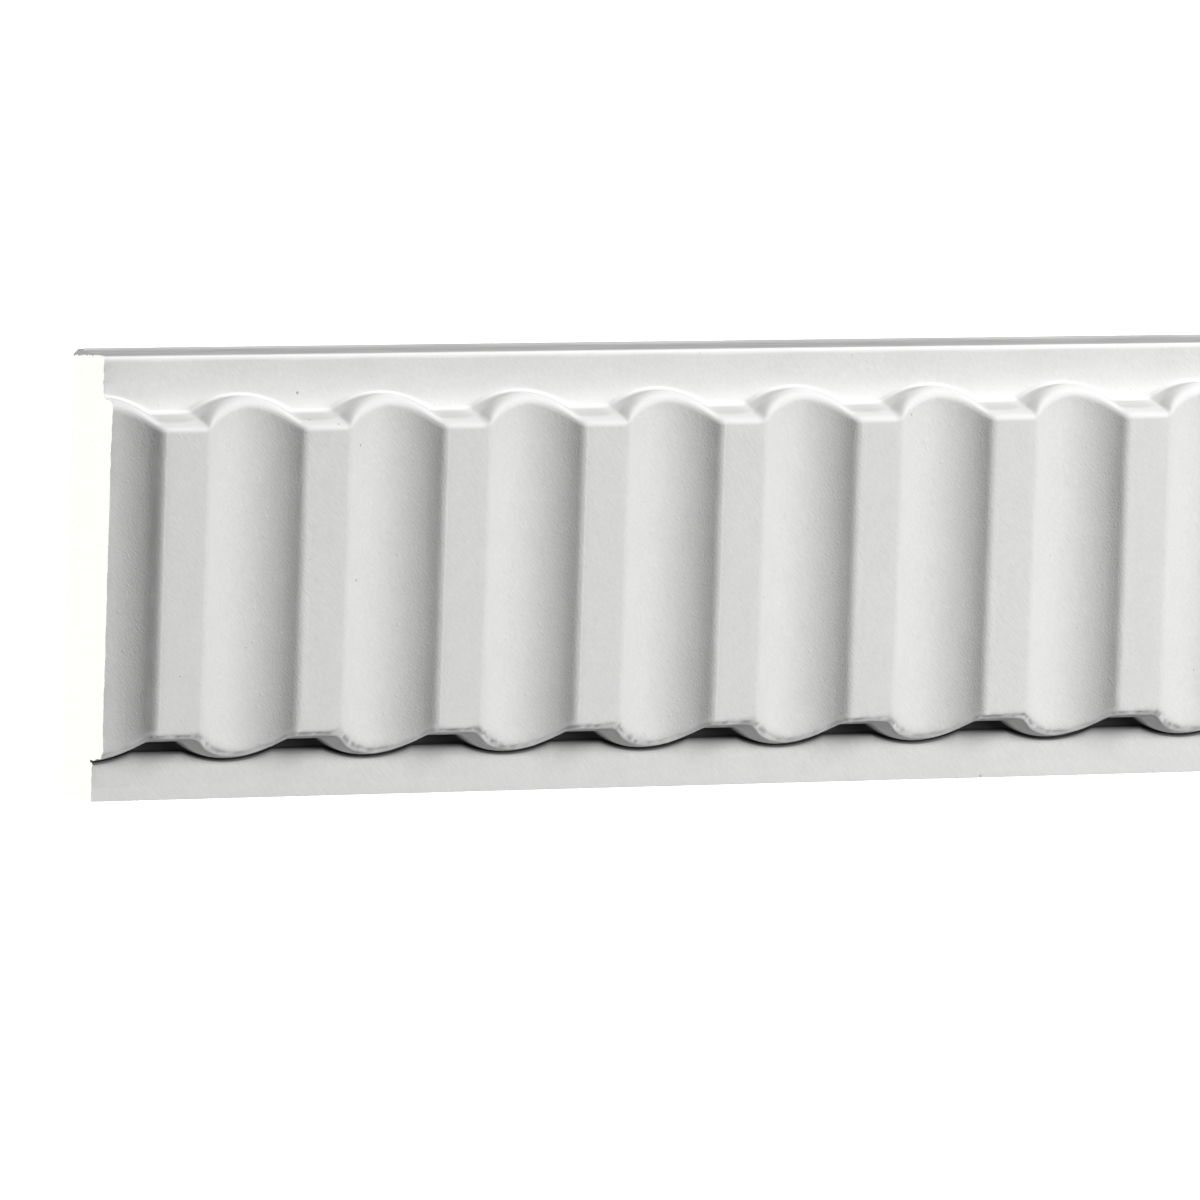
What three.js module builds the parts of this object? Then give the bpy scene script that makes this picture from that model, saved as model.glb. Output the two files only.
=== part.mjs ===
// A polyurethane frieze moulding, cast in one piece and glued flat to a wall.
// From the top down it has a plain cove, a raised slab and a plain band. Upright concave flutes are cut into
// the slab between flat fillets, and the slab's upper and lower edges bow out in a scallop over each flute.
// Sizes are in millimetres. X runs along the moulding, the flat back lies in Y = 0, the front faces -Y and
// Z is up. The origin is on the back, at mid-length and mid-height.

import * as THREE from 'three';

// Overall
const length = 986;
const height = 152;

// Flutes and fillets, measured along X
const fluteWidth = 36.2; // chord between the arrises before they are rounded
const filletWidth = 18.6;
const firstFluteCentre = -2.8; // from the left end: the saw cuts a flute just past its centre

// Depths, measured out from the wall
const slabDepth = 36.4; // face of the flat fillets
const fluteDepth = 8.6; // middle of a flute, back from that face
const bandDepth = 21.3;
const coveThroatDepth = 21.4; // the cove's upright upper part
const arrisRadius = 4.2; // rounding between a fillet and a flute

// Cove and top edge: heights are measured down from the front top edge
const topRise = 1.5; // how far the back lip stands above the front top edge
const coveThroatDrop = 6.5; // the cove is upright down to here and curves out below
const coveRadius = 70;
const lipDepth = 3.6; // highest line of the back lip, out from the wall
const lipBackDrop = 2.3; // the lip's rounding down to the wall
const stepDepth = 7.4; // small step in front of the lip
const stepHeight = 0.5;
const topEdgeBevel = 0.8;

// The slab's upper edge on a fillet, down from the front top edge
const upperRootDrop = 19;
const upperFaceDrop = 22.7;

// The slab's lower edge on a fillet, up from the bottom. Its underside slopes back to an inner edge, and a
// narrow groove runs behind that edge, above the band.
const lowerFaceRise = 22.6;
const innerEdgeRise = 20.6;
const innerEdgeSetback = 8.6; // back from the fillet's face
const innerEdgeHollow = 0.65; // how far the inner edge follows the flutes' hollows
const bandEdgeRise = 16.5;
const grooveDepth = 1.2; // back from the band's face
const grooveSlope = 0.2; // how far its roof and its floor lean towards each other

// Scallops over the flutes
const rootScallopMargin = 1.1; // how far the root arc reaches past the flute on each side
const upperRootScallop = 5.7;
const upperFaceScallop = 7.9;
const lowerFaceScallop = 6.8;
const innerEdgeMargin = 1.9;
const innerEdgeScallop = 6.7;
const bandEdgeMargin = -0.8;
const bandEdgeScallop = 3.4;
const scallopShift = 1; // these scallops and the inner edge's sit this far left of the flutes
const lowerFaceShift = 1.7;
const rimSetback = 1.8; // rounding of the slab's edges, along each side of the corner

// Steps of the faceted surface
const fluteSteps = 6;
const coveSteps = 2;

const bottomZ = -height / 2;
const topEdgeZ = height / 2 - topRise;
const pitch = fluteWidth + filletWidth;

// Height of a circular arc of the given chord and rise, at a distance u from its middle, and 0 beyond its ends
function arcHeight(u, chord, rise) {
  const radius = chord ** 2 / (8 * rise) + rise / 2;
  const half = Math.min(Math.abs(u), chord / 2);
  return Math.sqrt(radius ** 2 - half ** 2) - (radius - rise);
}

const fluteRadius = fluteWidth ** 2 / (8 * fluteDepth) + fluteDepth / 2;
const fluteAxisDepth = slabDepth - fluteDepth + fluteRadius;

// The arris rounding is tangent to the fillet's face and to the flute's circle
const roundingAxis = Math.sqrt(
  (fluteRadius + arrisRadius) ** 2 - (fluteAxisDepth - slabDepth + arrisRadius) ** 2,
);
const roundingEnd = (roundingAxis * fluteRadius) / (fluteRadius + arrisRadius);

// Depth of the slab's face at a distance u from the middle of a flute
function faceDepth(u) {
  const side = Math.abs(u);
  if (side <= roundingEnd) {
    return fluteAxisDepth - Math.sqrt(fluteRadius ** 2 - side ** 2);
  }
  if (side >= roundingAxis) {
    return slabDepth;
  }
  return slabDepth - arrisRadius + Math.sqrt(arrisRadius ** 2 - (roundingAxis - side) ** 2);
}

// Depth of the cove at a height z: upright above the throat line, an arc below it
function coveDepth(z) {
  const belowThroat = Math.max(topEdgeZ - coveThroatDrop - z, 0);
  return coveThroatDepth + coveRadius - Math.sqrt(coveRadius ** 2 - belowThroat ** 2);
}

// Three points that round the corner between two neighbouring points of the section
function roundedCorner(from, corner, to) {
  const near = Math.min(rimSetback, from.distanceTo(corner) / 2);
  const far = Math.min(rimSetback, to.distanceTo(corner) / 2);
  const start = corner.clone().add(from.clone().sub(corner).setLength(near));
  const end = corner.clone().add(to.clone().sub(corner).setLength(far));
  const curve = new THREE.QuadraticBezierCurve(start, corner, end);
  return curve.getPoints(2);
}

// Outline of the moulding's section at a distance u from the middle of a flute, as points of depth and height
function section(u) {
  const point = (depth, z) => new THREE.Vector2(depth, z);
  const scallop = (margin, rise, shift) => arcHeight(u + shift, fluteWidth + 2 * margin, rise);
  const depth = faceDepth(u);

  const bandEdge = point(bandDepth, bottomZ + bandEdgeRise - scallop(bandEdgeMargin, bandEdgeScallop, 0));
  const innerEdge = point(
    slabDepth - innerEdgeSetback - innerEdgeHollow * (slabDepth - depth),
    bottomZ + innerEdgeRise - scallop(innerEdgeMargin, innerEdgeScallop, scallopShift),
  );
  const grooveFoot = point(bandDepth - grooveDepth, bandEdge.y + grooveSlope);
  const grooveHead = point(bandDepth - grooveDepth, innerEdge.y - grooveSlope);
  const lowerFace = point(depth, bottomZ + lowerFaceRise - scallop(0, lowerFaceScallop, lowerFaceShift));
  const upperRootZ = topEdgeZ - upperRootDrop + scallop(rootScallopMargin, upperRootScallop, 0);
  const upperRoot = point(coveDepth(upperRootZ), upperRootZ);
  const upperFaceZ = topEdgeZ - upperFaceDrop + scallop(0, upperFaceScallop, scallopShift);
  const upperFace = point(depth, upperFaceZ);

  const cove = [];
  for (let i = 1; i <= coveSteps; i += 1) {
    const z = THREE.MathUtils.lerp(upperRootZ, topEdgeZ - coveThroatDrop, i / coveSteps);
    cove.push(point(coveDepth(z), z));
  }
  const coveTop = point(coveThroatDepth, topEdgeZ - topEdgeBevel);
  const topEdge = point(coveThroatDepth - topEdgeBevel, topEdgeZ);
  const lip = point(lipDepth, height / 2);
  const stepSlope = (topRise - stepHeight) / (topEdge.x - lipDepth);
  const step = point(stepDepth, topEdgeZ + stepSlope * (topEdge.x - stepDepth));

  return [
    point(0, bottomZ),
    point(bandDepth, bottomZ),
    bandEdge,
    grooveFoot,
    grooveHead,
    innerEdge,
    ...roundedCorner(innerEdge, lowerFace, upperFace),
    ...roundedCorner(lowerFace, upperFace, upperRoot),
    upperRoot,
    ...cove,
    coveTop,
    topEdge,
    step,
    point(stepDepth, step.y + stepHeight),
    lip,
    point(0, height / 2 - lipBackDrop),
  ];
}

// Places along one repeat, from the middle of a flute, where the section is worked out
function repeatStations() {
  const across = [-roundingAxis, -(roundingAxis + roundingEnd) / 2];
  for (let i = 0; i <= fluteSteps; i += 1) {
    across.push(THREE.MathUtils.lerp(-roundingEnd, roundingEnd, i / fluteSteps));
  }
  across.push((roundingAxis + roundingEnd) / 2, roundingAxis);
  return across;
}

// All stations from the left end to the right, with the distance from the nearest flute's middle
function allStations() {
  const nearest = (x) => {
    const repeats = Math.round((x - firstFluteCentre) / pitch);
    return x - firstFluteCentre - repeats * pitch;
  };
  const endGap = 0.5;
  const stations = [{ x: 0, u: nearest(0) }];
  const count = Math.ceil((length - firstFluteCentre) / pitch);
  for (let i = -1; i <= count; i += 1) {
    for (const u of repeatStations()) {
      const x = firstFluteCentre + i * pitch + u;
      if (x > endGap && x < length - endGap) {
        stations.push({ x, u });
      }
    }
  }
  stations.push({ x: length, u: nearest(length) });
  return stations;
}

// One closed skin through all the sections, with a flat saw cut at each end
function mouldingGeometry() {
  const stations = allStations();
  const outlines = stations.map((station) => section(station.u));
  const ring = outlines[0].length;
  const positions = [];
  outlines.forEach((outline, i) => {
    for (const point of outline) {
      positions.push(stations[i].x - length / 2, -point.x, point.y);
    }
  });

  const triangles = [];
  for (let i = 0; i + 1 < stations.length; i += 1) {
    for (let j = 0; j < ring; j += 1) {
      const a = i * ring + j;
      const b = i * ring + ((j + 1) % ring);
      triangles.push(a, a + ring, b + ring, a, b + ring, b);
    }
  }
  const last = (stations.length - 1) * ring;
  for (const [a, b, c] of THREE.ShapeUtils.triangulateShape(outlines[0], [])) {
    triangles.push(a, b, c);
  }
  for (const [a, b, c] of THREE.ShapeUtils.triangulateShape(outlines[stations.length - 1], [])) {
    triangles.push(last + a, last + c, last + b);
  }

  const geometry = new THREE.BufferGeometry();
  geometry.setAttribute('position', new THREE.Float32BufferAttribute(positions, 3));
  geometry.setIndex(triangles);
  geometry.computeVertexNormals();
  return geometry;
}

const primedPolyurethane = new THREE.MeshStandardMaterial({
  color: 0xf2f1ee,
  roughness: 0.55,
  metalness: 0,
});

const moulding = new THREE.Mesh(mouldingGeometry(), primedPolyurethane);
moulding.name = 'frieze_moulding';

const group = new THREE.Group();
group.add(moulding);

export default group;
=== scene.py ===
import math
import bpy
import numpy as np
from mathutils import Matrix, Vector


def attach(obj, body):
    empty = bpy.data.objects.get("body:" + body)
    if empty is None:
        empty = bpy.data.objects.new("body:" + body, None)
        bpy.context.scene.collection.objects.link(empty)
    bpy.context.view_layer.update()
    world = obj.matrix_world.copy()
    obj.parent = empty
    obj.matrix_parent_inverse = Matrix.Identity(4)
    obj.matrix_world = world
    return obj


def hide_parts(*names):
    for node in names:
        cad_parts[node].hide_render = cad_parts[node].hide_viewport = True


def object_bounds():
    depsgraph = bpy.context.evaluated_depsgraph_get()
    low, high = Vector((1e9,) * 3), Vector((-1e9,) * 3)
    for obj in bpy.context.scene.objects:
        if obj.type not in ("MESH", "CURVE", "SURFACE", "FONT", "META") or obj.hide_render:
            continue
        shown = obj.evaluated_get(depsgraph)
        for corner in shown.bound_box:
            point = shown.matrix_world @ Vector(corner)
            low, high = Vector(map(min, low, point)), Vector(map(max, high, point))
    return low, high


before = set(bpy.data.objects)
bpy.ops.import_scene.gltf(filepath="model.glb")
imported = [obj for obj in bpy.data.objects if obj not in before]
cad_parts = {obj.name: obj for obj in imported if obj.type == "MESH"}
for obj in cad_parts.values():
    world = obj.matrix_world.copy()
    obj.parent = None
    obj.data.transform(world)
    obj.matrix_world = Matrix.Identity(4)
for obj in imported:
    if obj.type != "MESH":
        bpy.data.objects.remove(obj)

# A primed white polyurethane frieze: upright flutes and flat fillets, a cove above and a plain band below.
# Lengths are in metres. X runs along the moulding, its back lies in Y = 0, its front faces -Y, and Z is up.

cadLow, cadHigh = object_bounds()
mm = 0.001
print("frame loaded:", list(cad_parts))

# Camera: a long lens from the left of the moulding and a little above it
camera = {
    "azimuth": 31.0,  # degrees to the left of straight on
    "elevation": 5.14,
    "roll": 1.872,  # the picture leans clockwise by this
    "distance": 6.095,
    "lens": 532.5,
    "aimFromLeftEnd": 0.2100,
    "aimHeight": -0.0135,
}


def directionOf(azimuth, elevation):
    # unit vector from the moulding: degrees to the right of the face's normal, and degrees above level
    a = math.radians(azimuth)
    e = math.radians(elevation)
    return Vector((math.sin(a) * math.cos(e), -math.cos(a) * math.cos(e), math.sin(e)))


aim = Vector((cadLow.x + camera["aimFromLeftEnd"], 0.0, camera["aimHeight"]))


def addCamera():
    back = directionOf(-camera["azimuth"], camera["elevation"])
    right = Vector((0.0, 0.0, 1.0)).cross(back).normalized()
    up = back.cross(right)
    roll = math.radians(camera["roll"])
    leanRight = math.cos(roll) * right + math.sin(roll) * up
    leanUp = math.cos(roll) * up - math.sin(roll) * right
    turn = Matrix((leanRight, leanUp, back)).transposed()
    data = bpy.data.cameras.new("camera")
    data.lens = camera["lens"]
    data.sensor_width = 36.0
    data.clip_end = 200.0
    shot = bpy.data.objects.new("camera", data)
    shot.matrix_world = Matrix.Translation(aim + camera["distance"] * back) @ turn.to_4x4()
    bpy.context.scene.collection.objects.link(shot)
    bpy.context.scene.camera = shot


addCamera()
print("camera placed")

# Moulding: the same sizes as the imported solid, with the finer roundings and unevenness of the casting
moulding = {
    "fluteWidth": 36.2 * mm,
    "filletWidth": 18.6 * mm,
    "firstFluteCentre": -2.8 * mm,
    "fluteDepth": 8.6 * mm,
    "bandDepth": 21.3 * mm,
    "throatDepth": 21.4 * mm,
    "arrisRadius": 4.2 * mm,
    "topRise": 1.5 * mm,
    "throatDrop": 6.5 * mm,
    "coveRadius": 70.0 * mm,
    "lipDepth": 3.6 * mm,
    "lipBackDrop": 2.3 * mm,
    "stepDepth": 7.4 * mm,
    "stepHeight": 0.5 * mm,
    "stepLean": 0.3 * mm,
    "upperRootDrop": 19.0 * mm,
    "upperFaceDrop": 22.7 * mm,
    "lowerFaceRise": 22.6 * mm,
    "innerEdgeRise": 20.6 * mm,  # the slab's underside slopes back to this edge, with a groove behind it
    "innerEdgeSetback": 8.6 * mm,
    "innerEdgeHollow": 0.65,
    "bandEdgeRise": 16.5 * mm,
    "grooveDepth": 1.2 * mm,
    "grooveSlope": 0.2 * mm,
    "rootScallopMargin": 1.1 * mm,
    "upperRootScallop": 5.7 * mm,
    "upperFaceScallop": 7.9 * mm,
    "lowerFaceScallop": 6.8 * mm,
    "innerEdgeMargin": 1.9 * mm,
    "innerEdgeScallop": 6.7 * mm,
    "bandEdgeMargin": -0.8 * mm,
    "bandEdgeScallop": 3.4 * mm,
    "scallopShift": 1.0 * mm,
    "lowerFaceShift": 1.7 * mm,
    "faceKinkRounding": 1.0 * mm,
    "rootKinkRounding": 0.3 * mm,
    "upperRimOnFace": 1.5 * mm,  # each rounding starts this far from its corner, on one side and the other
    "upperRimOnScallop": 1.8 * mm,
    "upperRimOnLeft": 2.3 * mm,  # more on the left side of each scallop
    "upperRimOnLedge": 3.0 * mm,
    "lowerRimOnFace": 2.2 * mm,
    "lowerRimBelow": 2.4 * mm,
    # more of it on each scallop's left: how much, where from the flute's middle, and how wide
    "upperLedgeOnLeft": (4.0 * mm, -17.0 * mm, 6.0 * mm),
    "lowerRimOnLeft": (2.8 * mm, -15.0 * mm, 7.0 * mm),
    "innerEdgeRounding": 0.25 * mm,
    "bandEdgeRounding": 0.5 * mm,
    "upperRootFillet": 0.9 * mm,
    "topEdgeRounding": 1.2 * mm,
    "bottomEdgeRounding": 0.3 * mm,
    "lipRounding": 2.4 * mm,
    "bandCreaseRise": 4.5 * mm,  # the band's foot leans back a hair below this line
    "bandFootLean": 0.05 * mm,
    "endLift": 0.45 * mm,  # each flute gets this much shallower at its two ends
    "endLiftReach": 5.0 * mm,
}
steps = {
    "flute": 22,
    "arris": 5,
    "fillet": 8,
    "foot": 4,
    "band": 7,
    "bandEdge": 4,
    "groove": 2,
    "innerEdge": 3,
    "underside": 2,
    "lowerRim": 12,
    "face": 38,
    "upperRim": 9,
    "ledge": 3,
    "upperRoot": 6,
    "cove": 16,
    "topEdge": 6,
    "top": 2,
    "lip": 7,
    "back": 6,
}

length = cadHigh.x - cadLow.x
bottomZ = cadLow.z
topZ = cadHigh.z
slabDepth = -cadLow.y
pitch = moulding["fluteWidth"] + moulding["filletWidth"]
topEdgeZ = topZ - moulding["topRise"]
fluteRadius = moulding["fluteWidth"] ** 2 / (8 * moulding["fluteDepth"]) + moulding["fluteDepth"] / 2
fluteAxisDepth = slabDepth - moulding["fluteDepth"] + fluteRadius
arrisReach = math.sqrt(
    (fluteRadius + moulding["arrisRadius"]) ** 2
    - (fluteAxisDepth - slabDepth + moulding["arrisRadius"]) ** 2
)
arrisFoot = arrisReach * fluteRadius / (fluteRadius + moulding["arrisRadius"])


def hump(distance, width):
    return np.exp(-(distance / width) ** 2)


def softArc(u, margin, rise, kink):
    # a circular arc h = sqrt(r^2 - u^2) - (r - rise), cut off at zero with a rounded kink by
    # (h + sqrt(h^2 + kink^2)) / 2
    chord = moulding["fluteWidth"] + 2 * margin
    radius = chord ** 2 / (8 * rise) + rise / 2
    h = np.sqrt(np.maximum(radius ** 2 - u ** 2, 0.0)) - (radius - rise)
    return (h + np.sqrt(h ** 2 + kink ** 2)) / 2


def faceDepth(u):
    # the flute's circle, then a circle of the arris radius tangent to it, then the flat fillet
    side = np.abs(u)
    flute = fluteAxisDepth - np.sqrt(fluteRadius ** 2 - np.minimum(side, arrisFoot) ** 2)
    across = np.clip(arrisReach - side, 0.0, arrisReach - arrisFoot)
    arris = slabDepth - moulding["arrisRadius"] + np.sqrt(moulding["arrisRadius"] ** 2 - across ** 2)
    return np.where(side <= arrisFoot, flute, arris)


def coveDepth(z):
    # upright above the throat line, and a circle of the cove's radius, tangent to it, below
    below = np.maximum(topEdgeZ - moulding["throatDrop"] - z, 0.0)
    radius = moulding["coveRadius"]
    return moulding["throatDepth"] + radius - np.sqrt(radius ** 2 - below ** 2)


def stationPlaces():
    # places along X: even steps across each flute, each arris and each fillet, between the two saw cuts
    flute = np.linspace(-arrisFoot, arrisFoot, steps["flute"] + 1)
    rightArris = np.linspace(arrisFoot, arrisReach, steps["arris"] + 1)[1:]
    fillet = np.linspace(arrisReach, pitch - arrisReach, steps["fillet"] + 1)[1:]
    leftArris = np.linspace(pitch - arrisReach, pitch - arrisFoot, steps["arris"] + 1)[1:-1]
    repeat = np.concatenate([flute, rightArris, fillet, leftArris])
    count = int(math.ceil(length / pitch)) + 1
    x = (moulding["firstFluteCentre"] + pitch * np.arange(count)[:, None] + repeat[None, :]).ravel()
    endGap = 0.4 * mm
    x = x[(x > endGap) & (x < length - endGap)]
    return np.concatenate([[0.0], x, [length]])


def rounded(before, corner, after, setbacks, count):
    # quadratic curve (1-t)^2 P + 2 t (1-t) C + t^2 Q around a corner, from one setback to the other
    def towards(other, setback):
        gap = other - corner
        size = np.linalg.norm(gap, axis=-1, keepdims=True)
        return corner + gap * np.minimum(np.reshape(setback, (-1, 1)) / size, 0.5)

    start = towards(before, setbacks[0])
    end = towards(after, setbacks[1])
    t = np.linspace(0.0, 1.0, count)[None, :, None]
    return (1 - t) ** 2 * start[:, None] + 2 * t * (1 - t) * corner[:, None] + t ** 2 * end[:, None]


def between(start, end, count, crowd=0.0):
    # points strictly between two ends, crowded towards both by t - crowd sin(2 pi t) / (2 pi)
    t = np.arange(1, count + 1) / (count + 1)
    t = (t - crowd * np.sin(2 * math.pi * t) / (2 * math.pi))[None, :, None]
    return start[:, None] * (1 - t) + end[:, None] * t


def sections(u):
    # every station's outline as points of depth and height, an array of stations x outline x 2
    m = moulding
    one = np.ones_like(u)

    def point(depth, z):
        return np.stack([depth * one, z * one], -1)

    def atRoot(margin, rise, shift=0.0):
        return softArc(u + shift, m[margin], m[rise], m["rootKinkRounding"])

    def onFace(rise, shift):
        return softArc(u + m[shift], 0.0, m[rise], m["faceKinkRounding"])

    depth = faceDepth(u)
    upperRootZ = topEdgeZ - m["upperRootDrop"] + atRoot("rootScallopMargin", "upperRootScallop")
    innerScallop = atRoot("innerEdgeMargin", "innerEdgeScallop", m["scallopShift"])
    innerEdgeZ = bottomZ + m["innerEdgeRise"] - innerScallop
    bandEdgeZ = bottomZ + m["bandEdgeRise"] - atRoot("bandEdgeMargin", "bandEdgeScallop")
    grooveDepth = m["bandDepth"] - m["grooveDepth"]
    backLow = point(0.0, bottomZ)
    foot = point(m["bandDepth"] - m["bandFootLean"], bottomZ)
    crease = point(m["bandDepth"], bottomZ + m["bandCreaseRise"])
    bandEdge = point(m["bandDepth"], bandEdgeZ)
    grooveFoot = point(grooveDepth, bandEdgeZ + m["grooveSlope"])
    grooveHead = point(grooveDepth, innerEdgeZ - m["grooveSlope"])
    innerEdge = point(
        slabDepth - m["innerEdgeSetback"] - m["innerEdgeHollow"] * (slabDepth - depth), innerEdgeZ)
    lowerFace = point(depth, bottomZ + m["lowerFaceRise"] - onFace("lowerFaceScallop", "lowerFaceShift"))
    upperFace = point(depth, topEdgeZ - m["upperFaceDrop"] + onFace("upperFaceScallop", "scallopShift"))
    upperRoot = point(coveDepth(upperRootZ), upperRootZ)
    onScallop = onFace("upperFaceScallop", "scallopShift") / m["upperFaceScallop"]
    onLeft = onScallop * np.clip(-u / arrisFoot, 0.0, 1.0)
    rimOnFace = m["upperRimOnFace"] + (m["upperRimOnScallop"] - m["upperRimOnFace"]) * onScallop
    rimOnFace = rimOnFace + m["upperRimOnLeft"] * onLeft

    def more(row):
        extra, centre, width = m[row]
        return extra * np.maximum(hump(u - centre, width), hump(u - centre - pitch, width))

    rimOnLedge = m["upperRimOnLedge"] + more("upperLedgeOnLeft")
    lowerRimOnFace = m["lowerRimOnFace"] + more("lowerRimOnLeft")

    t = np.linspace(0.0, 1.0, steps["cove"])[None, :]
    coveStart = (upperRootZ + m["upperRootFillet"])[:, None]
    coveEnd = topEdgeZ - m["topEdgeRounding"]
    coveZ = coveStart * (1 - t) + coveEnd * t
    cove = np.stack([coveDepth(coveZ), coveZ], -1)
    topEdge = point(m["throatDepth"], topEdgeZ)
    slope = (m["topRise"] - m["stepHeight"]) / (m["throatDepth"] - m["lipDepth"])
    stepFoot = point(m["stepDepth"], topEdgeZ + slope * (m["throatDepth"] - m["stepDepth"]))
    stepHead = stepFoot + point(-m["stepLean"], m["stepHeight"])
    lip = point(m["lipDepth"], topZ)
    backHigh = point(0.0, topZ - m["lipBackDrop"])

    def evenly(row):
        # a rounding's own setback on both of its sides
        return (m[row], m[row])

    bandEdgeRow = rounded(crease, bandEdge, grooveFoot, evenly("bandEdgeRounding"), steps["bandEdge"])
    innerEdgeRow = rounded(grooveHead, innerEdge, lowerFace, evenly("innerEdgeRounding"), steps["innerEdge"])
    lowerRimRow = rounded(
        innerEdge, lowerFace, upperFace, (m["lowerRimBelow"], lowerRimOnFace), steps["lowerRim"])
    upperRimRow = rounded(lowerFace, upperFace, upperRoot, (rimOnFace, rimOnLedge), steps["upperRim"])
    upperRootRow = rounded(upperFace, upperRoot, cove[:, 0], evenly("upperRootFillet"), steps["upperRoot"])
    topEdgeRow = rounded(cove[:, -1], topEdge, stepFoot, evenly("topEdgeRounding"), steps["topEdge"])
    rows = {
        "backLow": backLow[:, None],
        "foot": rounded(backLow, foot, crease, evenly("bottomEdgeRounding"), steps["foot"]),
        "crease": crease[:, None],
        "band": between(crease, bandEdgeRow[:, 0], steps["band"], 0.5),
        "bandEdge": bandEdgeRow,
        "grooveFoot": grooveFoot[:, None],
        "groove": between(grooveFoot, grooveHead, steps["groove"]),
        "grooveHead": grooveHead[:, None],
        "innerEdge": innerEdgeRow,
        "underside": between(innerEdgeRow[:, -1], lowerRimRow[:, 0], steps["underside"]),
        "lowerRim": lowerRimRow,
        "face": between(lowerRimRow[:, -1], upperRimRow[:, 0], steps["face"], 0.6),
        "upperRim": upperRimRow,
        "ledge": between(upperRimRow[:, -1], upperRootRow[:, 0], steps["ledge"]),
        "upperRoot": upperRootRow[:, :-1],
        "cove": cove,
        "topEdge": topEdgeRow[:, 1:],
        "top": between(topEdge, stepFoot, steps["top"]),
        "stepFoot": stepFoot[:, None],
        "stepHead": stepHead[:, None],
        "lip": rounded(stepHead, lip, backHigh, evenly("lipRounding"), steps["lip"]),
        "backHigh": backHigh[:, None],
        "back": between(backHigh, backLow, steps["back"]),
    }
    spans = {}
    start = 0
    for name, row in rows.items():
        spans[name] = (start, start + row.shape[1])
        start += row.shape[1]
    return np.concatenate(list(rows.values()), axis=1), spans


class Lattice:
    # smooth random heights between -1 and 1: random values on a square lattice, blended by 3 t^2 - 2 t^3
    def __init__(self, seed, size=128):
        self.values = np.random.default_rng(seed).uniform(-1.0, 1.0, (size, size))
        self.size = size

    def at(self, a, b):
        a, b = np.broadcast_arrays(a, b)
        ia = np.floor(a).astype(int)
        ib = np.floor(b).astype(int)
        fa = a - ia
        fb = b - ib
        fa = fa * fa * (3 - 2 * fa)
        fb = fb * fb * (3 - 2 * fb)
        v = self.values
        s = self.size
        low = v[ia % s, ib % s] * (1 - fa) + v[(ia + 1) % s, ib % s] * fa
        high = v[ia % s, (ib + 1) % s] * (1 - fa) + v[(ia + 1) % s, (ib + 1) % s] * fa
        return low * (1 - fb) + high * fb


unevenness = {
    "seed": 7,
    "wave": (38 * mm, 0.16 * mm),  # cell of the lattice and height
    "lump": (7 * mm, 0.05 * mm),
    "rimLump": (2.2 * mm, 0.28 * mm),
    "rimLumpWidth": 1.6 * mm,
    "arrisLump": (4.0 * mm, 0.08 * mm),
    "arrisWidth": 1.4 * mm,
    "rootBead": (0.75 * mm, 0.35 * mm),  # half width and height
    "castingSeam": (0.16, 0.10, 0.30 * mm),  # on the lower rim: place and width as parts of it, and height
    "seamGroove": (0.52, 0.11, -0.22 * mm),
    "seamCell": 5.0 * mm,
    "sawChip": (1.3 * mm, 0.42 * mm),
    "backRipple": (11 * mm, 0.14 * mm),
}


def nearestFlute(x):
    repeats = np.round((x - moulding["firstFluteCentre"]) / pitch)
    return x - moulding["firstFluteCentre"] - repeats * pitch


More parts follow.
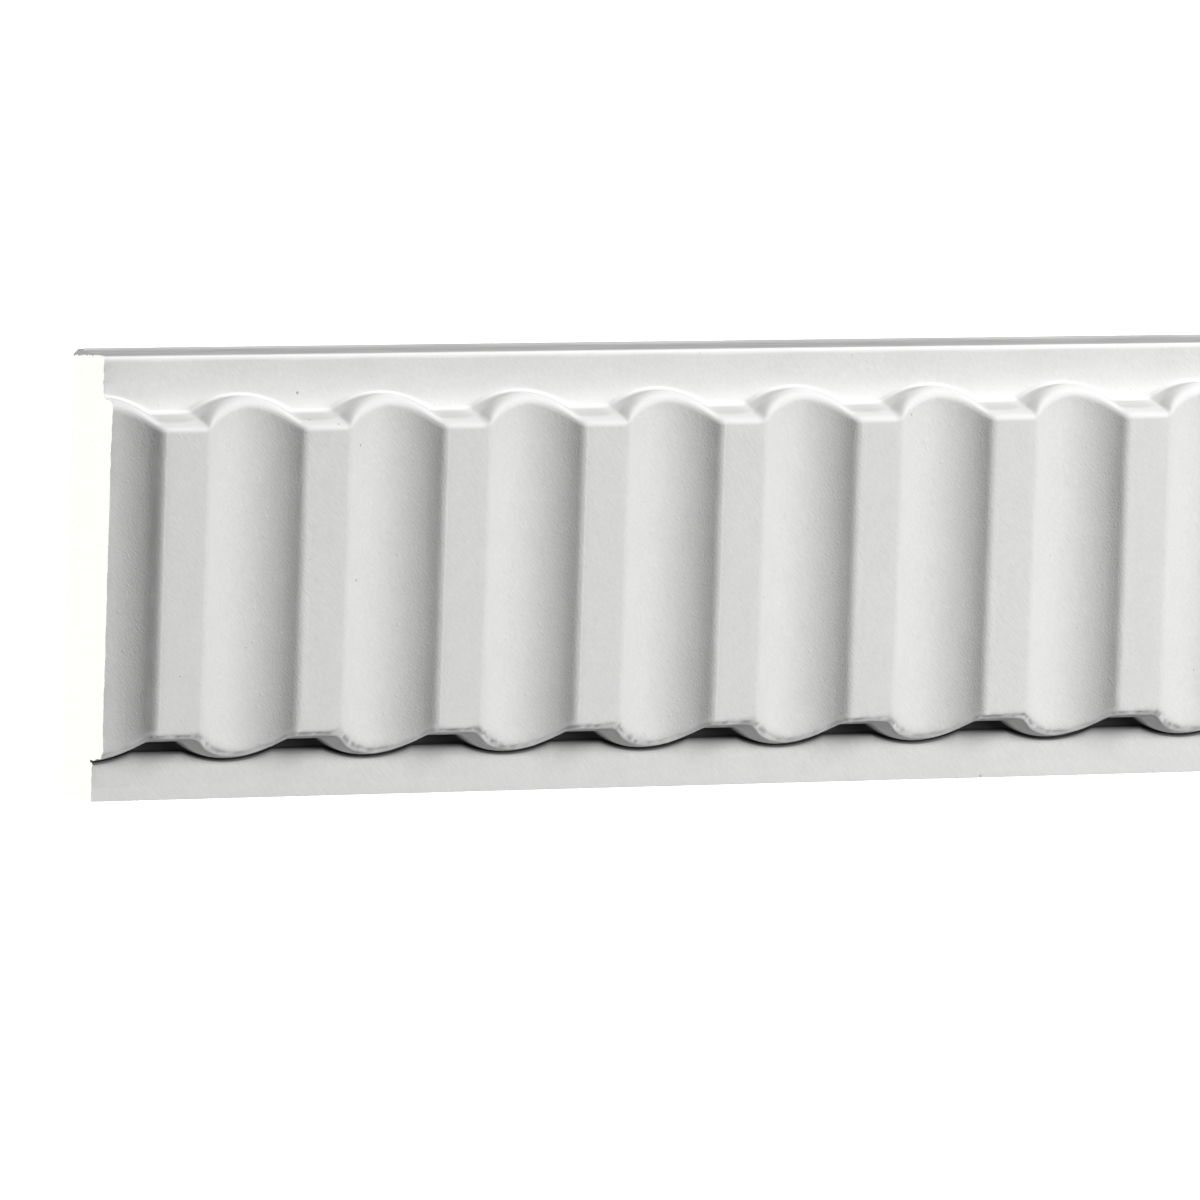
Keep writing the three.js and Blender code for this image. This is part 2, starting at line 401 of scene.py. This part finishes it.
def mouldingGrid():
    x = stationPlaces()
    u = nearestFlute(x)
    outline, spans = sections(u)
    stations, ring = outline.shape[:2]
    places = np.empty((stations, ring, 3))
    places[..., 0] = x[:, None] + cadLow.x
    places[..., 1] = -outline[..., 0]
    places[..., 2] = outline[..., 1]

    # length along each outline, which the unevenness follows
    gaps = np.linalg.norm(np.diff(outline, axis=1), axis=-1)
    along = np.concatenate([np.zeros((stations, 1)), np.cumsum(gaps, axis=1)], axis=1)

    # outward normals from the two directions of the grid
    forward = np.gradient(places, axis=0)
    around = np.roll(places, -1, axis=1) - np.roll(places, 1, axis=1)
    normals = np.cross(forward, around)
    normals /= np.linalg.norm(normals, axis=-1, keepdims=True) + 1e-12

    def only(first, last):
        mask = np.zeros(ring)
        mask[spans[first][0]:spans[last][1]] = 1.0
        return mask

    def noise(seed, cell):
        return Lattice(unevenness["seed"] + seed).at(x[:, None] / cell, along / cell)

    front = only("band", "bandEdge") + only("innerEdge", "cove")
    raised = np.zeros((stations, ring))
    for seed, name in enumerate(("wave", "lump")):
        cell, height = unevenness[name]
        raised += height * noise(seed, cell) * front

    # bead of primer that fills the corner between the slab and the cove
    rootLine = along[:, (spans["upperRoot"][0] + spans["upperRoot"][1]) // 2]
    width, height = unevenness["rootBead"]
    bead = hump(along - rootLine[:, None], width) * only("ledge", "cove")
    raised += height * bead

    # lower rim: a casting seam with a groove above it, and lumps along both
    first, last = spans["lowerRim"]
    t = np.zeros(ring)
    t[first:last] = np.linspace(0.0, 1.0, last - first)
    seamPart = 0.75 + 0.5 * noise(5, unevenness["seamCell"])
    for name in ("castingSeam", "seamGroove"):
        place, width, height = unevenness[name]
        raised += height * hump(t - place, width) * only("lowerRim", "lowerRim") * seamPart
    rimLine = along[:, (first + last) // 2]
    cell, height = unevenness["rimLump"]
    raised += height * hump(along - rimLine[:, None], unevenness["rimLumpWidth"]) * noise(2, cell)

    # arrises and the shallower ends of the flutes
    cell, height = unevenness["arrisLump"]
    arris = hump(np.abs(u) - arrisReach, unevenness["arrisWidth"])[:, None]
    raised += height * arris * only("face", "face") * noise(3, cell)
    lowEnd = along - along[:, [spans["face"][0]]]
    highEnd = along[:, [spans["face"][1] - 1]] - along
    reach = moulding["endLiftReach"]
    nearEnds = np.exp(-np.maximum(lowEnd, 0.0) / reach) + np.exp(-np.maximum(highEnd, 0.0) / reach)
    inFlute = np.clip(1.0 - (u / arrisFoot) ** 2, 0.0, 1.0)[:, None]
    raised += moulding["endLift"] * nearEnds * inFlute * only("lowerRim", "upperRim")

    # the back is a little rippled, always inwards, and the saw has chipped the edges of both cuts
    cell, height = unevenness["backRipple"]
    raised -= height * (0.5 + 0.5 * noise(4, cell)) * only("back", "back")
    cell, height = unevenness["sawChip"]
    chips = height * np.clip(noise(6, cell), 0.0, 1.0) * only("foot", "lip")
    raised[[0, -1]] -= chips[[0, -1]]

    places += normals * raised[..., None]
    places[0, :, 0] = cadLow.x
    places[-1, :, 0] = cadHigh.x

    # masks that the paint reads, each from 0 to 1; most of them paint highlights, shade and shadow into the
    # colour
    back, topWidth = paint["topLight"]
    topLine = along[:, [spans["topEdge"][0]]] - back
    fluteSide = np.clip(u / arrisFoot, 0.0, 1.0)[:, None] * (np.abs(u) < arrisReach)[:, None]
    bandEdgeLine = along[:, [spans["bandEdge"][0]]]
    # painted shadow on the band below the groove, reaching furthest right of each flute's middle
    bandShadowy = hump(nearestFlute(x - paint["bandShadowCentre"]), paint["bandShadowWidth"])[:, None]
    reach = paint["bandShadowOnBand"] * (paint["bandShadowLeast"] + (1.0 - paint["bandShadowLeast"]) * bandShadowy)
    bandShadow = np.exp(-np.maximum(bandEdgeLine - along, 0.0) / reach) * only("band", "bandEdge")
    # painted shade: the groove under the slab and the band's top edge below it turn near black
    crevice = only("bandEdge", "grooveHead")
    crevice[spans["bandEdge"][0]:spans["bandEdge"][1]] = np.linspace(0.0, 1.0, steps["bandEdge"])
    rootZ = topEdgeZ - moulding["upperRootDrop"]
    # painted light, lighter low on the cove and towards the band's foot
    share, reach = paint["coveLight"]
    paintedLowLight = share * hump(np.maximum(outline[..., 1] - rootZ, 0.0), reach) * only("upperRoot", "cove")
    share, reach = paint["footLight"]
    footLighted = share * np.clip(1.0 - (outline[..., 1] - bottomZ) / reach, 0.0, 1.0) * only("foot", "band")
    paintedLowLight = np.maximum(paintedLowLight, footLighted)
    # painted highlight along the top edge
    topLight = hump(along - topLine, topWidth) * only("cove", "topEdge")
    # painted highlight along the bead in the upper corner
    beadHighlight = np.minimum(paint["beadHighlight"] * bead, 1.0)
    # painted shade on each right arris, more of it near the left cut
    share, place, width = paint["paintedShadeArris"]
    moreShare, reach = paint["paintedShadeNearCut"]
    paintedShade = (share + moreShare * hump(x, reach)) * hump(u - place, width)
    # painted shade over the front near the left cut
    share, reach = paint["greyNearCut"]
    grey = share * hump(x, reach)
    # broken painted shade along the lower rim, with less of it on part of each scallop
    share, place, width, cell = paint["lowerRimShade"]
    less, centre, reach = paint["lessShadePart"]
    lessShade = less * hump(u - centre, reach)[:, None]
    lowerRimShading = share * hump(t - place, width) * only("lowerRim", "lowerRim")
    lowerRimShading = lowerRimShading * np.clip(0.5 + noise(8, cell), 0.0, 1.0) * (1.0 - lessShade)
    # painted highlight of the upper rim, spread onto the ledge and weaker on each scallop's shaded left
    share, place, width = paint["rimOnLedge"]
    rimOnLedge = share * np.maximum(hump(u - place, width), hump(u - place - pitch, width))
    # painted highlight along the step at the back
    share, cell = paint["stepHighlight"]
    stepHighlight = share * np.clip(0.7 + 0.5 * noise(9, cell), 0.0, 1.0) * only("stepHead", "stepHead")
    rim = 1.0 - paint["rimHighlightLessOnLeft"] * np.clip(-u / arrisFoot, 0.0, 1.0) * (np.abs(u) < arrisReach)
    masks = {
        "paintedHighlight": np.maximum(np.maximum(beadHighlight, topLight), paintedLowLight) + stepHighlight,
        "rim": rim[:, None] * only("upperRim", "upperRim") + rimOnLedge[:, None] * only("ledge", "ledge"),
        "crevice": np.broadcast_to(crevice, (stations, ring)),
        "bandShadow": bandShadow,
        "paintedShade": paintedShade[:, None] * only("face", "face") + lowerRimShading + grey[:, None] * front,
        "fluteSide": fluteSide * only("face", "face"),
    }
    return places, spans, masks


def addMesh(name, places, faces, materials, slots, smooth, sharp):
    mesh = bpy.data.meshes.new(name)
    mesh.from_pydata(places.reshape(-1, 3).tolist(), [], faces)
    mesh.polygons.foreach_set("material_index", slots)
    mesh.polygons.foreach_set("use_smooth", smooth)
    ends = np.empty(len(mesh.edges) * 2, dtype=np.int32)
    mesh.edges.foreach_get("vertices", ends)
    mesh.edges.foreach_set("use_edge_sharp", sharp(ends.reshape(-1, 2)))
    for material in materials:
        mesh.materials.append(material)
    mesh.validate()
    mesh.update()
    piece = bpy.data.objects.new(name, mesh)
    bpy.context.scene.collection.objects.link(piece)
    return piece


def addMoulding(materials):
    # quads through all the stations, and a many-sided face on each saw cut
    places, spans, masks = mouldingGrid()
    stations, ring = places.shape[:2]
    index = np.arange(stations * ring).reshape(stations, ring)
    a = index[:-1]
    b = np.roll(index, -1, axis=1)[:-1]
    c = np.roll(index, -1, axis=1)[1:]
    d = index[1:]
    quads = np.stack([a, d, c, b], -1).reshape(-1, 4)
    faces = quads.tolist() + [index[0].tolist(), index[-1][::-1].tolist()]
    column = np.tile(np.arange(ring), stations - 1)
    names = list(materials)
    slots = np.zeros(len(faces), dtype=np.int32)
    slots[:-2][column >= spans["topEdge"][1] - 2] = names.index("top")
    slots[:-2][column >= spans["backHigh"][0]] = names.index("back")
    slots[:-2][column < spans["backLow"][1]] = names.index("top")
    slots[-2:] = names.index("cut")
    smooth = np.ones(len(faces), dtype=bool)
    smooth[-2:] = False

    def sharp(ends):
        column = ends % ring
        station = ends // ring
        atCut = (station[:, 0] == station[:, 1]) & ((station[:, 0] == 0) | (station[:, 0] == stations - 1))
        backEdge = (column[:, 0] == 0) | (column[:, 0] == spans["backHigh"][0])
        return atCut | ((column[:, 0] == column[:, 1]) & backEdge)

    piece = addMesh("moulding", places, faces, list(materials.values()), slots, smooth, sharp)
    for name, values in masks.items():
        mask = piece.data.attributes.new(name, "FLOAT", "POINT")
        mask.data.foreach_set("value", np.ascontiguousarray(values, dtype=np.float32).ravel())
    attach(piece, "root")
    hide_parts("frieze_moulding")
    return piece


# Paint: brushed white primer over moulded foam
paint = {
    "colour": (0.68, 0.68, 0.675),
    "highlightColour": (0.97, 0.97, 0.965),  # painted highlight: the bead in the upper corner, the top edge, the step at the back, and painted light low on the cove and on the band
    # painted highlight on the upper rim and the ledge beside it
    "rimHighlightColour": (0.84, 0.84, 0.835),
    "creviceShadeColour": (0.02, 0.02, 0.02),  # painted shade: the groove under the slab, near black
    # painted shadow that the slab casts on the band below the groove
    "bandShadowColour": (0.13, 0.13, 0.13),
    "beadHighlight": 1.6,  # how fast the bead in the upper corner turns to the painted highlight's colour
    "topLight": (0.2 * mm, 0.8 * mm),  # painted highlight along the top edge: how far before its rounding, and its width
    "bandShadowOnBand": 2.7 * mm,  # painted shadow of the slab on the band: reach below the groove, greatest this far right of each flute's middle
    "bandShadowCentre": 23.0 * mm,
    "bandShadowWidth": 11.0 * mm,
    "bandShadowLeast": 0.12,  # part of that reach elsewhere
    "pinholeColour": (0.42, 0.42, 0.41),
    "roughness": 0.8,
    "strokeAngle": -44.0,  # degrees about Y
    "strokeWidth": 0.5 * mm,
    "strokeLength": 2.6 * mm,
    "strokeHeight": 0.07 * mm,
    "strokeElsewhere": 0.4,  # share of that height on flat places
    "strokeOnSide": 2.2,  # more on the right sides of the flutes
    "strokeTone": 0.11,
    "grainSize": 0.9 * mm,
    "grainHeight": 0.014 * mm,
    "blotchSize": 9.0 * mm,
    "blotchTone": 0.035,
    "pinholeCell": 10.0 * mm,
    "pinholeRadius": 0.045,
    "pinholeShare": 0.30,
    "pinholeDepth": 0.10 * mm,
    "pimpleScale": 3.2,  # pimples per pinhole cell
    "pimpleRadius": 0.17,
    "pimpleShare": 0.55,
    "pimpleHeight": 0.06 * mm,
    # painted light low on the cove and on the band: share of the highlight's colour, and reach above their
    # foot
    "coveLight": (0.55, 6.0 * mm),
    "footLight": (0.16, 12.0 * mm),
    # painted shade on the right arrises, near the left cut and along the lower rim
    "paintedShadeColour": (0.10, 0.10, 0.10),
    "paintedShadeArris": (0.15, 17.2 * mm, 1.7 * mm),  # painted shade on each right arris: share, place and width
    "paintedShadeNearCut": (0.33, 20.0 * mm),  # more of that painted shade near the left cut: share and reach
    # painted shade over the front near the left cut: share and reach
    "greyNearCut": (0.06, 14.0 * mm),
    # broken painted shade along the lower rim: share, place and width as parts of it, and cell of the breaks
    "lowerRimShade": (0.62, 0.50, 0.20, 1.5 * mm),
    "lessShadePart": (0.7, 7.0 * mm, 9.0 * mm),  # less of it here on each scallop: how much, place and width
    "rimHighlightLessOnLeft": 0.7,  # the rim's painted highlight is weaker on each scallop's shaded left by this share
    "rimOnLedge": (0.9, -19.0 * mm, 4.0 * mm),  # the rim's painted highlight on the ledge: share, place and width
    "stepHighlight": (0.5, 30.0 * mm),  # uneven painted highlight along the step at the back: share and cell
}


def newMaterial(name):
    material = bpy.data.materials.new(name)
    material.use_nodes = True
    return material, material.node_tree.nodes, material.node_tree.links


def newGroup(name, inputs, outputs):
    tree = bpy.data.node_groups.new(name, "ShaderNodeTree")
    for label, value in inputs.items():
        tree.interface.new_socket(label, in_out="INPUT", socket_type="NodeSocketFloat").default_value = value
    for label in outputs:
        tree.interface.new_socket(label, in_out="OUTPUT", socket_type="NodeSocketFloat")
    return tree, tree.nodes.new("NodeGroupInput"), tree.nodes.new("NodeGroupOutput")


def math2(tree, operation, a, b):
    # a math node whose two values are sockets or plain numbers
    node = tree.nodes.new("ShaderNodeMath")
    node.operation = operation
    for socket, value in zip(node.inputs, (a, b)):
        if isinstance(value, (int, float)):
            socket.default_value = value
        else:
            tree.links.new(value, socket)
    return node.outputs["Value"]


def clamped(tree, value):
    return math2(tree, "MINIMUM", math2(tree, "MAXIMUM", value, 0.0), 1.0)


def stretched(tree, sizes, angle=0.0):
    # object coordinates counted in cells of the given sizes along X, Y and Z, after a turn about Y
    place = tree.nodes.new("ShaderNodeTexCoord")
    cells = tree.nodes.new("ShaderNodeMapping")
    cells.vector_type = "TEXTURE"
    cells.inputs["Rotation"].default_value = (0.0, math.radians(angle), 0.0)
    cells.inputs["Scale"].default_value = sizes
    tree.links.new(place.outputs["Object"], cells.inputs["Vector"])
    return cells.outputs["Vector"]


def noiseIn(tree, cells, detail):
    noise = tree.nodes.new("ShaderNodeTexNoise")
    noise.inputs["Scale"].default_value = 1.0
    noise.inputs["Detail"].default_value = detail
    tree.links.new(cells, noise.inputs["Vector"])
    return noise.outputs["Fac"]


def strokesGroup():
    # brush strokes that run down to the right: Height from 0 to 1, and Tone around 1
    tree, given, out = newGroup("brush strokes", {"Tone Change": 0.05}, ("Height", "Tone"))
    w = paint["strokeWidth"]
    height = noiseIn(tree, stretched(tree, (w, w, paint["strokeLength"]), paint["strokeAngle"]), 2.0)
    swing = math2(tree, "SUBTRACT", height, 0.5)
    change = math2(tree, "MULTIPLY", swing, given.outputs["Tone Change"])
    tone = math2(tree, "ADD", math2(tree, "MULTIPLY", change, 2.0), 1.0)
    tree.links.new(height, out.inputs["Height"])
    tree.links.new(tone, out.inputs["Tone"])
    return tree


def blotchesGroup():
    # uneven thickness of a coat: Tone around 1 from wide blotches, Height from a fine grain
    tree, given, out = newGroup("uneven coat", {"Tone Change": 0.04}, ("Height", "Tone"))
    wide = noiseIn(tree, stretched(tree, (paint["blotchSize"],) * 3), 4.0)
    change = math2(tree, "MULTIPLY", math2(tree, "SUBTRACT", wide, 0.5), given.outputs["Tone Change"])
    tone = math2(tree, "ADD", math2(tree, "MULTIPLY", change, 2.0), 1.0)
    grain = noiseIn(tree, stretched(tree, (paint["grainSize"],) * 3), 3.0)
    tree.links.new(tone, out.inputs["Tone"])
    tree.links.new(grain, out.inputs["Height"])
    return tree


def pinholesGroup():
    # small round holes: Mask is 1 inside them. Share is the part of the cells that has a hole
    tree, given, out = newGroup("pinholes", {"Share": 0.2, "Radius": 0.05, "Scale": 1.0}, ("Mask",))
    cells = tree.nodes.new("ShaderNodeTexVoronoi")
    tree.links.new(given.outputs["Scale"], cells.inputs["Scale"])
    tree.links.new(stretched(tree, (paint["pinholeCell"],) * 3), cells.inputs["Vector"])
    split = tree.nodes.new("ShaderNodeSeparateColor")
    tree.links.new(cells.outputs["Color"], split.inputs["Color"])
    chosen = math2(tree, "LESS_THAN", split.outputs["Red"], given.outputs["Share"])
    size = math2(tree, "MULTIPLY", given.outputs["Radius"], math2(tree, "ADD", split.outputs["Green"], 0.5))
    inside = math2(tree, "SUBTRACT", 1.0, math2(tree, "DIVIDE", cells.outputs["Distance"], size))
    soft = clamped(tree, math2(tree, "MULTIPLY", inside, 2.5))
    tree.links.new(math2(tree, "MULTIPLY", chosen, soft), out.inputs["Mask"])
    return tree


strokes = strokesGroup()
blotches = blotchesGroup()
pinholes = pinholesGroup()


def use(tree, group, **values):
    node = tree.nodes.new("ShaderNodeGroup")
    node.node_tree = group
    for label, value in values.items():
        node.inputs[label.replace("_", " ")].default_value = value
    return node.outputs


def attribute(tree, name):
    node = tree.nodes.new("ShaderNodeAttribute")
    node.attribute_name = name
    return node.outputs["Fac"]


def scaled(tree, colour, tone):
    # a colour times a changing tone
    node = tree.nodes.new("ShaderNodeVectorMath")
    node.operation = "SCALE"
    node.inputs[0].default_value = colour
    tree.links.new(tone, node.inputs["Scale"])
    return node.outputs["Vector"]


def blended(tree, factor, colour, other):
    # a changing colour that turns into a fixed one where the factor is 1
    node = tree.nodes.new("ShaderNodeMix")
    node.data_type = "RGBA"
    node.inputs["B"].default_value = other + (1.0,)
    tree.links.new(factor, node.inputs["Factor"])
    tree.links.new(colour, node.inputs["A"])
    return node.outputs["Result"]


def addBump(tree, shader, height, distance, under=None):
    bump = tree.nodes.new("ShaderNodeBump")
    bump.inputs["Distance"].default_value = distance
    bump.inputs["Strength"].default_value = 1.0
    tree.links.new(height, bump.inputs["Height"])
    if under is not None:
        tree.links.new(under, bump.inputs["Normal"])
    tree.links.new(bump.outputs["Normal"], shader.inputs["Normal"])
    return bump.outputs["Normal"]


def primer():
    material, nodes, links = newMaterial("brushed primer")
    tree = material.node_tree
    shader = nodes["Principled BSDF"]
    shader.inputs["Roughness"].default_value = paint["roughness"]
    shader.inputs["IOR"].default_value = 1.45
    stroke = use(tree, strokes, Tone_Change=paint["strokeTone"])
    coat = use(tree, blotches, Tone_Change=paint["blotchTone"])
    hole = use(tree, pinholes, Share=paint["pinholeShare"], Radius=paint["pinholeRadius"])
    tone = math2(tree, "MULTIPLY", stroke["Tone"], coat["Tone"])
    colour = scaled(tree, paint["colour"], tone)
    # painted highlight on the upper rim and the ledge
    colour = blended(tree, attribute(tree, "rim"), colour, paint["rimHighlightColour"])
    # painted highlights along the upper corner, the top edge and the step, and painted light low on the cove
    # and the band
    colour = blended(tree, attribute(tree, "paintedHighlight"), colour, paint["highlightColour"])
    # painted shadow on the band below the slab
    colour = blended(tree, attribute(tree, "bandShadow"), colour, paint["bandShadowColour"])
    # painted shade on the right arrises, near the left cut and along the lower rim
    colour = blended(tree, attribute(tree, "paintedShade"), colour, paint["paintedShadeColour"])
    # painted shade in the groove under the slab
    colour = blended(tree, attribute(tree, "crevice"), colour, paint["creviceShadeColour"])
    colour = blended(tree, hole["Mask"], colour, paint["pinholeColour"])
    links.new(colour, shader.inputs["Base Color"])
    onSide = math2(tree, "MULTIPLY", attribute(tree, "fluteSide"), paint["strokeOnSide"])
    depth = math2(tree, "ADD", onSide, paint["strokeElsewhere"])
    under = addBump(tree, shader, math2(tree, "MULTIPLY", stroke["Height"], depth), paint["strokeHeight"])
    under = addBump(tree, shader, coat["Height"], paint["grainHeight"], under)
    pimple = use(
        tree, pinholes, Share=paint["pimpleShare"], Radius=paint["pimpleRadius"], Scale=paint["pimpleScale"])
    under = addBump(tree, shader, pimple["Mask"], paint["pimpleHeight"], under)
    hollow = math2(tree, "SUBTRACT", 1.0, hole["Mask"])
    addBump(tree, shader, hollow, paint["pinholeDepth"], under)
    return material


# Top: the same primer, dragged along the length over a trowelled face
trowelled = {
    "colour": (0.50, 0.50, 0.497),
    "roughness": 0.6,
    "streakLength": 42 * mm,
    "streakWidth": 2.6 * mm,
    "streakTone": 0.34,
    "streakHeight": 0.10 * mm,
}


def trowelledTop():
    material, nodes, links = newMaterial("trowelled primer")
    tree = material.node_tree
    shader = nodes["Principled BSDF"]
    shader.inputs["Roughness"].default_value = trowelled["roughness"]
    shader.inputs["IOR"].default_value = 1.45
    w = trowelled["streakWidth"]
    streak = noiseIn(tree, stretched(tree, (trowelled["streakLength"], w, w)), 3.0)
    swing = math2(tree, "MULTIPLY", math2(tree, "SUBTRACT", streak, 0.5), 2.0 * trowelled["streakTone"])
    coat = use(tree, blotches, Tone_Change=paint["blotchTone"])
    tone = math2(tree, "MULTIPLY", math2(tree, "ADD", swing, 1.0), coat["Tone"])
    colour = scaled(tree, trowelled["colour"], tone)
    # painted highlights along the top edge and along the step at the back
    colour = blended(tree, attribute(tree, "paintedHighlight"), colour, paint["highlightColour"])
    links.new(colour, shader.inputs["Base Color"])
    under = addBump(tree, shader, streak, trowelled["streakHeight"])
    addBump(tree, shader, coat["Height"], paint["grainHeight"], under)
    return material


# Back: the open side of the mould, bare foam skin with a rippled, matt surface
skin = {
    "colour": (0.74, 0.72, 0.65),
    "roughness": 0.75,
    "rippleSize": 6.0 * mm,
    "rippleHeight": 0.35 * mm,
    "blotchTone": 0.10,
    "pinholeShare": 0.75,
    "pinholeRadius": 0.09,
    "pinholeDepth": 0.4 * mm,
    "pinholeColour": (0.40, 0.38, 0.33),
}


def foamSkin():
    material, nodes, links = newMaterial("foam skin")
    tree = material.node_tree
    shader = nodes["Principled BSDF"]
    shader.inputs["Roughness"].default_value = skin["roughness"]
    coat = use(tree, blotches, Tone_Change=skin["blotchTone"])
    hole = use(tree, pinholes, Share=skin["pinholeShare"], Radius=skin["pinholeRadius"])
    colour = scaled(tree, skin["colour"], coat["Tone"])
    colour = blended(tree, hole["Mask"], colour, skin["pinholeColour"])
    links.new(colour, shader.inputs["Base Color"])
    ripple = noiseIn(tree, stretched(tree, (skin["rippleSize"],) * 3), 2.0)
    under = addBump(tree, shader, ripple, skin["rippleHeight"])
    under = addBump(tree, shader, coat["Height"], paint["grainHeight"], under)
    addBump(tree, shader, math2(tree, "SUBTRACT", 1.0, hole["Mask"]), skin["pinholeDepth"], under)
    return material


# Saw cuts: fine-celled foam with the marks of the blade across it
sawn = {
    "colour": (0.88, 0.875, 0.84),
    "roughness": 0.8,
    "cellSize": 0.45 * mm,
    "cellHeight": 0.10 * mm,
    "cellTone": 0.10,
    "markSpacing": 1.7 * mm,
    "markLength": 30 * mm,
    "markHeight": 0.10 * mm,
    "skinColour": (0.30, 0.30, 0.295),  # primer that was dragged over the top of the cut
    "skinDrop": 2.9 * mm,  # less towards the front by this slope
    "skinSlope": 0.075,
    "skinRaggedness": 1.6 * mm,
    "skinCell": 1.8 * mm,
    "skinFade": 0.2 * mm,
}


def sawnFoam():
    material, nodes, links = newMaterial("sawn foam")
    tree = material.node_tree
    shader = nodes["Principled BSDF"]
    shader.inputs["Roughness"].default_value = sawn["roughness"]
    cells = nodes.new("ShaderNodeTexVoronoi")
    cells.inputs["Scale"].default_value = 1.0
    links.new(stretched(tree, (sawn["cellSize"],) * 3), cells.inputs["Vector"])
    change = math2(tree, "MULTIPLY", cells.outputs["Distance"], -sawn["cellTone"])
    colour = scaled(tree, sawn["colour"], math2(tree, "ADD", change, 1.0))
    # 1 above a ragged line, from the height and a noise that moves the line up and down
    place = nodes.new("ShaderNodeTexCoord")
    split = nodes.new("ShaderNodeSeparateXYZ")
    links.new(place.outputs["Object"], split.inputs["Vector"])
    ragged = math2(tree, "SUBTRACT", noiseIn(tree, stretched(tree, (sawn["skinCell"],) * 3), 3.0), 0.5)
    line = math2(tree, "MULTIPLY", ragged, sawn["skinRaggedness"])
    line = math2(tree, "ADD", line, math2(tree, "MULTIPLY", split.outputs["Y"], sawn["skinSlope"]))
    above = math2(tree, "SUBTRACT", math2(tree, "ADD", split.outputs["Z"], line), topZ - sawn["skinDrop"])
    skinMask = clamped(tree, math2(tree, "DIVIDE", above, sawn["skinFade"]))
    colour = blended(tree, skinMask, colour, sawn["skinColour"])
    links.new(colour, shader.inputs["Base Color"])
    marks = noiseIn(tree, stretched(tree, (sawn["markLength"], sawn["markLength"], sawn["markSpacing"])), 1.0)
    under = addBump(tree, shader, marks, sawn["markHeight"])
    addBump(tree, shader, cells.outputs["Distance"], -sawn["cellHeight"], under)
    return material


print("materials made")
moulded = addMoulding({"front": primer(), "top": trowelledTop(), "back": foamSkin(), "cut": sawnFoam()})
print("moulding made:", len(moulded.data.polygons), "faces")

# Stage and lights
stage = {
    "floorHeight": -0.55,
    "floorSide": 80.0,
    "floorGlow": 1.3,
}
lights = {
    "key": {"azimuth": 41.5, "elevation": 11, "distance": 3.2, "width": 0.6, "height": 1.8, "power": 106},
    "fill": {"azimuth": -50, "elevation": -20, "distance": 3.2, "width": 1.2, "height": 1.2, "power": 31},
    "top": {"azimuth": 0, "elevation": 86, "distance": 3.2, "width": 0.6, "height": 0.6, "power": 47},
}
endLight = {
    "azimuth": -118,
    "elevation": 12,
    "strength": 3.6,
    "angle": 6,
}
world = {
    "floor": 0.012,
    "zenith": 0.03,
}


def addFloor():
    s = stage["floorSide"] / 2
    z = stage["floorHeight"]
    mesh = bpy.data.meshes.new("floor")
    mesh.from_pydata([(-s, -s, z), (s, -s, z), (s, s, z), (-s, s, z)], [], [(0, 1, 2, 3)])
    floor = bpy.data.objects.new("floor", mesh)
    bpy.context.scene.collection.objects.link(floor)
    material, nodes, links = newMaterial("floor")
    shader = nodes["Principled BSDF"]
    shader.inputs["Base Color"].default_value = (0.9, 0.9, 0.9, 1.0)
    shader.inputs["Roughness"].default_value = 0.9
    shader.inputs["Emission Color"].default_value = (1.0, 1.0, 1.0, 1.0)
    shader.inputs["Emission Strength"].default_value = stage["floorGlow"]
    mesh.materials.append(material)
    floor.visible_diffuse = False
    floor.visible_glossy = False
    floor.visible_shadow = False


def addLamp(name, kind, azimuth, elevation, distance):
    data = bpy.data.lights.new(name, kind)
    lamp = bpy.data.objects.new(name, data)
    away = directionOf(azimuth, elevation)
    lamp.location = aim + distance * away
    lamp.rotation_euler = away.to_track_quat("Z", "Y").to_euler()
    bpy.context.scene.collection.objects.link(lamp)
    return data


def addSoftLight(name, azimuth, elevation, distance, width, height, power):
    data = addLamp(name, "AREA", azimuth, elevation, distance)
    data.shape = "ELLIPSE"
    data.size = width
    data.size_y = height
    data.energy = power


def addEndLight():
    # comes from the left and behind the wall's plane, so it lights the saw cut and the back and nothing else
    data = addLamp("end light", "SUN", endLight["azimuth"], endLight["elevation"], 3.0)
    data.energy = endLight["strength"]
    data.angle = math.radians(endLight["angle"])


def addWorld():
    # white to the camera, and to everything else a dim light that grows towards the zenith
    studio = bpy.data.worlds.new("studio")
    bpy.context.scene.world = studio
    studio.use_nodes = True
    nodes = studio.node_tree.nodes
    links = studio.node_tree.links
    nodes.clear()
    path = nodes.new("ShaderNodeLightPath")
    place = nodes.new("ShaderNodeTexCoord")
    split = nodes.new("ShaderNodeSeparateXYZ")
    above = nodes.new("ShaderNodeMapRange")
    above.inputs["From Min"].default_value = 0.3
    above.inputs["From Max"].default_value = 1.0
    above.inputs["To Min"].default_value = world["floor"]
    above.inputs["To Max"].default_value = world["zenith"]
    strength = nodes.new("ShaderNodeMix")
    strength.data_type = "FLOAT"
    strength.inputs["B"].default_value = 1.0
    light = nodes.new("ShaderNodeBackground")
    out = nodes.new("ShaderNodeOutputWorld")
    links.new(place.outputs["Generated"], split.inputs["Vector"])
    links.new(split.outputs["Z"], above.inputs["Value"])
    links.new(above.outputs["Result"], strength.inputs["A"])
    links.new(path.outputs["Is Camera Ray"], strength.inputs["Factor"])
    links.new(strength.outputs["Result"], light.inputs["Strength"])
    links.new(light.outputs["Background"], out.inputs["Surface"])


addFloor()
for name, values in lights.items():
    addSoftLight(name, **values)
addEndLight()
addWorld()
bpy.context.scene.view_settings.view_transform = "Standard"
print("stage and lights set")
